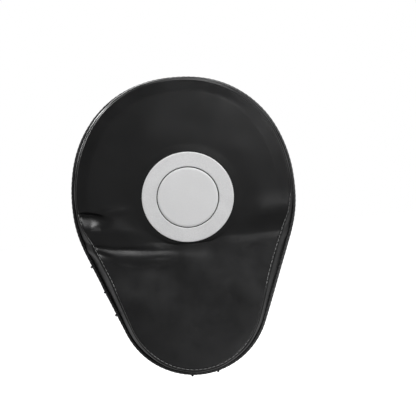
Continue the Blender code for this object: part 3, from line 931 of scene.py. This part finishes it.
def make_filling(materials):
    for body, lean in (("heel", HEEL_LEAN), ("strike", STRIKE_LEAN)):
        for layer in ("core_foam", "face_foam"):
            foam = soften(f"{body}_{layer}", 2.2, 0.25, materials["foam"], body)
            if layer == "face_foam":
                press_back(foam, lean)
        soften(f"{body}_back_board", 1.2, 0.1, materials["board"], body)


# ---- back panel

def make_back_panel(materials):
    """The flat leather behind the boards, rolled down to the binding, with its row of stitches."""
    edge_x, edge_s, _ = rim(round_angles(RAYS), 0.0, -UNDER_BINDING)
    reach = np.hypot(edge_x, edge_s - MIDDLE_S)
    rows_x, rows_b, rows_s = [], [], []
    for i in range(BACK_ROWS):
        inset = BACK_ROLL * (i / BACK_ROLL_ROWS) ** 2
        if i > BACK_ROLL_ROWS:
            share = (i - BACK_ROLL_ROWS) / (BACK_ROWS - 1 - BACK_ROLL_ROWS)
            inset = BACK_ROLL + (reach - BACK_ROLL - 1.0) * share
        x = edge_x * (1 - inset / reach)
        s = MIDDLE_S + (edge_s - MIDDLE_S) * (1 - inset / reach)
        rise = ease(inset / BACK_ROLL)
        dip = 0.35 * np.exp(-((inset - BACK_SEAM) / 1.3) ** 2)
        soft = ripple(x, s, BACK_WAVES) * ease(inset / 10)
        rows_x.append(x)
        rows_s.append(s)
        rows_b.append(REAR_B + (BACK - 0.1 - REAR_B) * rise - dip - 0.12 + soft)
    points = bend(np.array(rows_x), np.array(rows_b), np.array(rows_s)).reshape(-1, 3)
    points = np.concatenate([points, bend(0.0, BACK - 0.2, MIDDLE_S)[None]])
    mesh_from("back_panel_leather", points, dome_faces(BACK_ROWS, RAYS), materials["leather"], BOTH,
              ["back_panel"], SKIN)

    x, s, _ = rim(round_angles(RAYS, 1), 0.0, BACK_SEAM)
    here = bend(x, BACK - 0.45, s)
    stitches("back_edge_stitches", [(here, bend(x, BACK + 0.55, s) - here)], materials, BOTH)


# ---- pockets

def pocket_wall(p, inset, v, turn, lift=0.0):
    """A pocket's wall in its section: v runs from mouth to tip, turn from side to side."""
    width, deep, length = p["width"] - inset, p["deep"] - inset - lift, p["length"] - inset
    x = width * (1 - p["taper"] * v ** 2) * (1 - TIP_ROUND * v ** 10) * np.cos(turn)
    b = deep * np.sqrt(np.maximum(1 - v ** 2.2, 0)) * np.sin(turn)
    s = length * v
    return p["x"] + x + p["sway"] * s, BACK + GAP + lift + b, p["s"] + s


def wall_grid(rows, columns):
    v = np.sin(math.pi / 2 * np.linspace(0, 1, rows))[:, None]
    turn = np.linspace(0, math.pi, columns)[None, :]
    return np.broadcast_arrays(v, turn)


def border_of(rows, columns):
    """Indices round a wall's base: up the right side, across the tip and down the left."""
    right = [i * columns for i in range(rows)]
    tip = [(rows - 1) * columns + j for j in range(1, columns)]
    left = [i * columns + columns - 1 for i in range(rows - 2, -1, -1)]
    return right + tip + left


def border_out(x, s):
    """Unit steps away from the pocket along its base."""
    step_x, step_s = np.gradient(x), np.gradient(s)
    for _ in range(4):
        step_x = np.convolve(np.pad(step_x, 2, "edge"), np.ones(5) / 5, "valid")
        step_s = np.convolve(np.pad(step_s, 2, "edge"), np.ones(5) / 5, "valid")
    return unit(np.stack([step_s, -step_x], axis=-1)).T


def make_shell(name, p, materials):
    """The pocket's leather: a soft dome with sewn seams, turned out into a stitched flange."""
    rows, columns = p["grid"]
    v, turn = wall_grid(rows, columns)
    x, b, s = pocket_wall(p, 0.0, v, turn, FLANGE_LIFT)
    grid = np.stack([x, b, s], axis=-1)
    normal = unit(np.cross(np.gradient(grid, axis=1), np.gradient(grid, axis=0)))
    normal *= np.where(normal[..., 1:2] < -0.2, -1, 1)
    free = ease(np.sin(turn) / 0.35) * ease((1 - v) / 0.1)
    relief = 0.9 * np.ones_like(v)
    for seam in p["seams"]:
        gap = (turn - math.radians(seam)) * p["width"] * 0.9
        relief = relief - 1.5 * np.exp(-(gap / 2.0) ** 2)
    relief = relief + ripple(x, s + b, SHELL_WAVES)
    grid = grid + normal * (relief * free)[..., None]
    border = border_of(rows, columns)
    flat = grid.reshape(-1, 3)
    edge = flat[border]
    out_x, out_s = border_out(edge[:, 0], edge[:, 2])
    pucker = 0.12 * np.sin(np.arange(len(border)) * 1.9)
    flange = []
    for step, up in FLANGE:
        rise = BACK + GAP + up + pucker * (1 < step < FLANGE_OUT - 1)
        step *= p["flange"]
        flange.append(np.stack([edge[:, 0] + out_x * step, rise, edge[:, 2] + out_s * step], axis=-1))
    points = np.concatenate([flat] + flange)
    faces = ring_faces(rows, columns, closed=False)
    before = border
    for k in range(len(FLANGE)):
        row = [rows * columns + k * len(border) + i for i in range(len(border))]
        faces += zip(before, before[1:], row[1:], row)
        before = row
    shell = mesh_from(name + "_leather", section(*points.T, p["lean"]), faces, materials["leather"])
    seam_columns = [round(math.radians(seam) / math.pi * (columns - 1)) for seam in p["seams"]]
    pinned = list(range(columns))
    pinned += [i * columns + j + k for i in range(rows) for j in seam_columns for k in range(-2, 3)]
    pinned += border + list(range(rows * columns, len(points)))
    blow_up(shell, pinned, p["cap"])
    soft = shell.modifiers.new("soft", "SUBSURF")
    soft.levels = 1
    apply_modifiers(shell)
    thicken(shell, SHELL_LEATHER)
    shell.data.shade_smooth()
    middle = FLANGE_OUT * 0.56 * p["flange"]
    path = section(edge[:, 0] + out_x * middle, BACK + GAP + 1.15, edge[:, 2] + out_s * middle, p["lean"])
    routes = [(path, np.broadcast_to(way_back(p["lean"]), path.shape))]
    for seam in p["seams"]:
        for side in (-1, 1):
            j = round((math.radians(seam) + side * 3.2 / p["width"]) / math.pi * (columns - 1))
            line = slice(1, round(rows * 0.9))
            here = section(*(grid + normal * 0.1)[line, j].T, p["lean"])
            there = section(*(grid + normal * 1.1)[line, j].T, p["lean"])
            routes.append((here, there - here))
    stitches(name + "_stitches", routes, materials, p["body"])
    if p["vents"]:
        make_vents(p, shell, materials)
    finish_piece(shell, p["body"], [name])


def way_back(lean):
    return np.array([0.0, math.cos(lean), math.sin(lean)])


def make_wall(name, p, inset, wall, material, waves):
    """A closed dome under the shell: the padding or the lining."""
    rows, columns = 44, 72
    v, turn = wall_grid(rows, columns)
    layers = []
    for less in (inset, inset + wall):
        x, b, s = pocket_wall(p, less, v, turn)
        b = b + ripple(x, s, waves) * np.sin(turn)
        layers.append(section(x, b, s, p["lean"]).reshape(-1, 3))
    count = rows * columns
    faces = ring_faces(rows, columns, closed=False)
    faces += shifted(faces, count)
    loop = border_of(rows, columns) + list(range(columns - 2, 0, -1))
    faces += [(i, j, count + j, count + i) for i, j in zip(loop, loop[1:] + loop[:1])]
    return mesh_from(name + "_layer", np.concatenate(layers), faces, material, p["body"], [name])


def make_mouth(name, p, wall, materials):
    """The bound edge of a pocket's mouth: a folded strip over the end of its wall, and its seam."""
    half = wall / 2
    turn = np.linspace(0, math.pi, 90)
    width, deep = p["width"] - half, p["deep"] - half
    x = p["x"] + width * np.cos(turn)
    b = BACK + GAP + half + 0.5 + (deep - half - 0.5) * np.sin(turn)
    centre_s = p["s"] - half + MOUTH_UP
    out = unit(np.stack([np.cos(turn) / width, np.sin(turn) / deep], axis=-1))
    inside = np.minimum(np.minimum(turn, math.pi - turn) / 0.07, 1)
    ends = np.minimum(1, np.sqrt(1 - (1 - inside) ** 2) + 0.02)
    rings = []
    for a in round_angles(24):
        side = signed_power(math.cos(a), 0.7) * (half + 0.55) * ends
        rise = signed_power(math.sin(a), 0.7) * (half + MOUTH_TALL) * ends
        pucker = 0.14 * np.sin(turn * p["width"] / 0.9) * abs(math.cos(a))
        rings.append(section(x + out[:, 0] * (side + pucker), b + out[:, 1] * (side + pucker),
                             centre_s + rise, p["lean"]))
    mesh_from(name + "_binding_strip", np.array(rings).transpose(1, 0, 2), tube_faces(90, 24),
              materials["binding"], p["body"], [name + "_binding"])
    line = slice(3, 87)
    here_x, here_b = x + out[:, 0] * (half + 0.55), b + out[:, 1] * (half + 0.55)
    here = section(here_x, here_b, centre_s + half * 0.55, p["lean"])[line]
    there = section(here_x + out[:, 0], here_b + out[:, 1], centre_s + half * 0.55, p["lean"])[line]
    stitches(name + "_mouth_stitches", [(here, there - here)], materials, p["body"])


def make_vents(p, shell, materials):
    """Small eyelets through the pocket's leather, in staggered rows, where rays meet it."""
    points, faces = [], []
    sides = 16
    for row in range(VENT_ROWS):
        for column in range(VENT_COLUMNS):
            v = 0.34 + 0.085 * row
            turn = math.pi / 2 + (column - (VENT_COLUMNS - 1) / 2 + 0.5 * (row % 2) - 0.25) * 0.16
            inner, outer = (Vector(section(*pocket_wall(p, inset, v, turn), p["lean"]))
                            for inset in (9.0, -9.0))
            found, here, up, _ = shell.ray_cast(outer, (inner - outer).normalized())
            if not found:
                continue
            up = np.array(up if up.y > 0 else -up)
            ahead = unit(np.cross(up, (1.0, 0, 0)))
            aside = np.cross(up, ahead)
            faces += shifted(tube_faces(len(VENT_PROFILE), sides), len(points))
            for radius, lift in VENT_PROFILE:
                for a in round_angles(sides):
                    step = radius * (ahead * math.cos(a) + aside * math.sin(a)) + up * lift
                    points.append(np.array(here) + step * MM)
    mesh_from("finger_pocket_eyelets", points, faces, materials["eyelet"], p["body"])


def make_pockets(materials):
    for name, p in POCKETS.items():
        make_shell(name, p, materials)
        inset = SHELL + NEST
        pad = make_wall(name + "_padding", p, inset, p["padding"], materials["foam"], ())
        inset += p["padding"] + NEST
        make_wall(name + "_lining", p, inset, LINING, materials["lining"], LINING_WAVES)
        make_mouth(name, p, inset + LINING, materials)


# ---- palm pad

def palm_outline(angle, scale):
    """The pad's oval at a scale: x, height over the origin, and y of the back panel behind it."""
    x = PALM_W * scale * signed_power(np.cos(angle), PALM_POWER)
    z = PALM_H * scale * signed_power(np.sin(angle), PALM_POWER)
    return x, z, FLEX_Y + (BACK + GAP - (z - FLEX_Z) * math.sin(HEEL_LEAN)) / math.cos(HEEL_LEAN)


def make_palm_pad(materials):
    """A stitched cushion: flat top exactly upright at the origin, base on the back panel."""
    rays = 144
    angle = round_angles(rays)
    rings = list(PALM_PROFILE) + [(0.86 * (1 - i / 22), 1.0, 0.0) for i in range(1, 22)]
    points = []
    for scale, share, up in rings:
        x, z, base = palm_outline(angle, scale)
        pucker = 0.25 * np.sin(angle * 37) * math.exp(-((share - 0.45) / 0.3) ** 2)
        groove = -0.9 * math.exp(-((scale - PALM_SEAM) / 0.045) ** 2)
        crown = -0.35 * max(scale - PALM_SEAM, 0) / (1 - PALM_SEAM) if share == 1 else 0
        y = base * (1 - share) + up + pucker * 0.3 + groove + crown
        points.append(np.stack([x * (1 + pucker / 26), y, z * (1 + pucker / 26)], axis=-1))
    points = np.concatenate(points + [np.array([[0, 0.0, 0]])]) * MM
    faces = dome_faces(len(rings), rays) + [tuple(range(rays))]
    pad = mesh_from("palm_pad_leather", points, faces, materials["palm"], "heel", ["palm_pad"])

    routes = []
    for scale, lean in ((PALM_SEAM, 0.0), (1.09, HEEL_LEAN)):
        x, z, base = palm_outline(round_angles(120, 1), scale)
        y = base + 1.1 if lean else np.full_like(x, -0.85)
        path = np.stack([x, y, z], axis=-1) * MM
        routes.append((path, np.broadcast_to(way_back(lean), path.shape)))
    stitches("palm_pad_stitches", routes, materials, "heel")


# ---- wrist strap

def arch(degrees, lift):
    """Points on the strap's arch in the x-b plane, raised by lift."""
    turn = np.radians(np.asarray(degrees, float))
    normal = unit(np.stack([np.cos(turn) / ARCH_W, np.sin(turn) / ARCH_H], axis=-1))
    point = np.stack([ARCH_W * np.cos(turn), ARCH_H * np.sin(turn)], axis=-1)
    return point + normal * np.broadcast_to(lift, turn.shape)[..., None]


def flap_lift(degrees):
    return (STRAP_T + 2 * PATCH_T + 3 * GAP) * ease((168.0 - np.asarray(degrees, float)) / 48.0)


def band_section(width, thick):
    """A strap's cross-section with rounded edges: steps across and up, anticlockwise."""
    radius = min(0.42 * thick, 0.9)
    across, up = [], []
    for corner_x, corner_z, start in ((1, 1, 0), (-1, 1, 90), (-1, -1, 180), (1, -1, 270)):
        for k in range(4):
            turn = math.radians(start + 30 * k)
            across.append(corner_x * (width / 2 - radius) + radius * math.cos(turn))
            up.append(corner_z * (thick / 2 - radius) + radius * math.sin(turn))
        if corner_x * corner_z > 0:
            for k in range(1, 8):
                across.append(corner_x * (width / 2 - radius) * (1 - k / 4))
                swell = 0.15 * (1 - ((k - 4) / 4) ** 2) if corner_z > 0 else 0.0
                up.append(corner_z * thick / 2 + swell)
    return np.array(across), np.array(up)


def way_up(centre):
    """Unit steps up from a strap's centre line."""
    along = unit(np.gradient(centre, axis=0))
    return np.stack([-along[:, 1], along[:, 0]], axis=-1)


def make_band(node, finish, centre, size, look, body, round_end=0.0, round_start=0.0):
    """A strap along a centre line in the x-b plane, its width along s. look is material and slot; the slot
    is not used.
    """
    width, thick = size
    material, slot = look
    up = way_up(centre)
    far = np.concatenate([[0], np.cumsum(np.linalg.norm(np.diff(centre, axis=0), axis=1))])
    across, rise = band_section(width, thick)
    scale = np.ones(len(centre))
    for reach, left in ((round_end, far[-1] - far), (round_start, far)):
        if reach:
            q = np.clip(1 - left / reach, 0, 1)
            scale = scale * (1 - 0.32 * (1 - np.sqrt(1 - q ** 2)))
    rings = []
    for i, (x, b) in enumerate(centre):
        wave = 0.12 * math.sin(far[i] / 3.1) + 0.1 * math.sin(far[i] / 1.7 + 1)
        rings.append(section(x + up[i, 0] * rise, STRAP_B + b + up[i, 1] * rise,
                             STRAP_S + across * scale[i] * (1 + wave / width), HEEL_LEAN))
    piece = mesh_from(f"{node}_{finish}", np.array(rings), tube_faces(len(centre), len(across)), material,
                      body, [node])
    piece.data.set_sharp_from_angle(angle=math.radians(60))


def band_route(centre, thick, across, side):
    """A path for stitches on one face of a strap."""
    up = way_up(centre) * side
    here, there = (section(centre[:, 0] + up[:, 0] * lift, STRAP_B + centre[:, 1] + up[:, 1] * lift,
                           STRAP_S + across, HEEL_LEAN) for lift in (thick / 2, thick / 2 + 1))
    return here, there - here


def box_routes(x, s, width, height, b, lean):
    """Box stitching: a rectangle with its diagonals, on a patch of one section."""
    left, right, low, high = x - width / 2, x + width / 2, s - height / 2, s + height / 2
    corners = [((left, low), (right, low)), ((right, low), (right, high)), ((right, high), (left, high)),
               ((left, high), (left, low)), ((left, low), (right, high)), ((left, high), (right, low))]
    routes = []
    for (x0, s0), (x1, s1) in corners:
        t = np.linspace(0, 1, 12)
        path = section(x0 + (x1 - x0) * t, b, s0 + (s1 - s0) * t, lean)
        routes.append((path, np.broadcast_to(way_back(lean), path.shape)))
    return routes


def make_patch(node, x, width, thick, b, materials):
    """A leather patch with rounded corners, pressed down along its box stitching."""
    turn = round_angles(96)
    out_x = signed_power(np.cos(turn), 0.32) * width / 2
    out_s = signed_power(np.sin(turn), 0.32) * ANCHOR_H / 2
    rings = []
    for scale, rise in ANCHOR_PROFILE:
        rings.append(section(x + out_x * scale, b + thick * rise, STRAP_S + out_s * scale, HEEL_LEAN))
    mesh_from(node + "_leather", np.array(rings), tube_faces(len(rings), len(turn)), materials["leather"],
              "heel", [node])


def make_wrist_strap(materials):
    band, patch = (STRAP_W, STRAP_T), (PATCH_W, PATCH_T)
    webbing = (materials["strap"], "strap")
    turned = arch(16.0, 0.0)
    knee_up = np.array([0.0, 0.9]) + turned - arch(16.0, 1.0)
    knee = (turned + (38.5, 0)) / 2 + (2.2, -2.6) + unit(knee_up) * STRAP_T / 2
    inner = arch(np.linspace(16, 112, 25), STRAP_T / 2)
    corners = [(26, STRAP_T / 2), (31.5, STRAP_T / 2), (37, STRAP_T / 2), tuple(knee)]
    tab, _ = smooth_line(corners + [tuple(p) for p in inner], 150)
    make_band("wrist_tab", "webbing", tab, band, webbing, "heel", 6.0)
    loop = arch(np.linspace(108, 60, 40), STRAP_T + GAP + PATCH_T / 2)
    make_band("loop_patch", "pile", loop, patch, (materials["loop"], "hook_loop"), "heel", 3.0, 3.0)
    hook = arch(np.linspace(108, 60, 40), STRAP_T + 2 * GAP + PATCH_T * 1.5)
    make_band("hook_patch", "tape", hook, patch, (materials["hook"], "hook_loop"), "flap", 3.0, 3.0)
    degrees = np.linspace(176, 52, 110)
    over = arch(degrees, flap_lift(degrees) + STRAP_T / 2)[::3]
    flap, _ = smooth_line([(-40.9, 1.3), (-42.6, 1.4)] + [tuple(p) for p in over], 130)
    make_band("wrist_flap", "webbing", flap, band, webbing, "flap", 5.0)
    pull = arch(np.linspace(56.5, 36, 34), flap_lift(0) + 1.1)
    make_band("pull_tab", "leather", pull, (STRAP_W - 8.0, STRAP_T + 0.8), (materials["binding"], "binding"),
              "flap", 8.0)
    routes = [band_route(flap[8:-4], STRAP_T + 0.3, side * (STRAP_W / 2 - 2.4), 1) for side in (-1, 1)]
    routes += [band_route(pull[1:-6], STRAP_T + 1.1, side * 7.6, 1) for side in (-1, 1)]
    stitches("wrist_flap_stitches", routes, materials, "flap")
    routes = [band_route(tab[34:-5], STRAP_T, side * (STRAP_W / 2 - 2.4), -1) for side in (-1, 1)]
    stitches("wrist_tab_stitches", routes, materials, "heel")
    back = BACK + GAP
    make_patch("tab_anchor", 31.0, 11.0, 1.2, back + STRAP_T + 0.7, materials)
    make_patch("flap_anchor", -34.0, 13.0, 2.4, back, materials)
    routes = box_routes(31.0, STRAP_S, 7.0, ANCHOR_H - 6, back + STRAP_T + 0.7 + 1.2, HEEL_LEAN)
    routes += box_routes(-34.0, STRAP_S, 9.0, ANCHOR_H - 6, back + 2.35, HEEL_LEAN)
    stitches("anchor_stitches", routes, materials, "heel")


# ---- loose threads

def make_knots(materials):
    """Knotted thread ends along the rear edge, each two small turns and a short tail."""
    rng = np.random.default_rng(4)
    points, faces = [], []
    sides = 6
    for x, s in KNOTS:
        angle = math.atan2(s - MIDDLE_S, x)
        edge_x, edge_s, turn = (float(v[0]) for v in rim(np.array([angle]), 0.0, -SEAM + 0.3))
        out = np.array([math.cos(turn), 0, math.sin(turn)])
        side = np.array([-math.sin(turn), 0, math.cos(turn)])
        up = np.array([0, 1.0, 0])
        t = np.linspace(0, 1, 46)
        size = rng.uniform(0.4, 0.65)
        swing = t * 2 * math.pi * 2.2
        route = (np.array([edge_x, BACK - BINDING_R, edge_s])
                 + out * (0.3 + size * (0.6 - np.cos(swing)))[:, None]
                 + side * (size * np.sin(swing) + rng.uniform(-1.0, 1.0) * t ** 3)[:, None]
                 + up * (0.8 * t * rng.uniform(-1, 1) + 0.3 * np.sin(swing * 1.3))[:, None])
        along = unit(np.gradient(route, axis=0))
        across = unit(np.cross(along, up + 0.1 * out))
        over = np.cross(across, along)
        rings = [route + THREAD_R * (across * math.cos(a) + over * math.sin(a)) for a in round_angles(sides)]
        faces += shifted(tube_faces(len(t), sides), len(points) * len(t) * sides)
        points.append(bend(*np.array(rings).transpose(1, 0, 2).reshape(-1, 3).T))
    mesh_from("edge_thread_ends", np.concatenate(points), faces, materials["dark_thread"], BOTH)


# ---- the whole scene

cad_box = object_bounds()
materials = make_materials()
make_stage(cad_box[0].z)
for make in (make_front_panel, make_side_band, make_edge_binding, make_seam_stitches, make_target,
             make_filling, make_back_panel, make_pockets, make_palm_pad, make_wrist_strap, make_knots):
    make(materials)
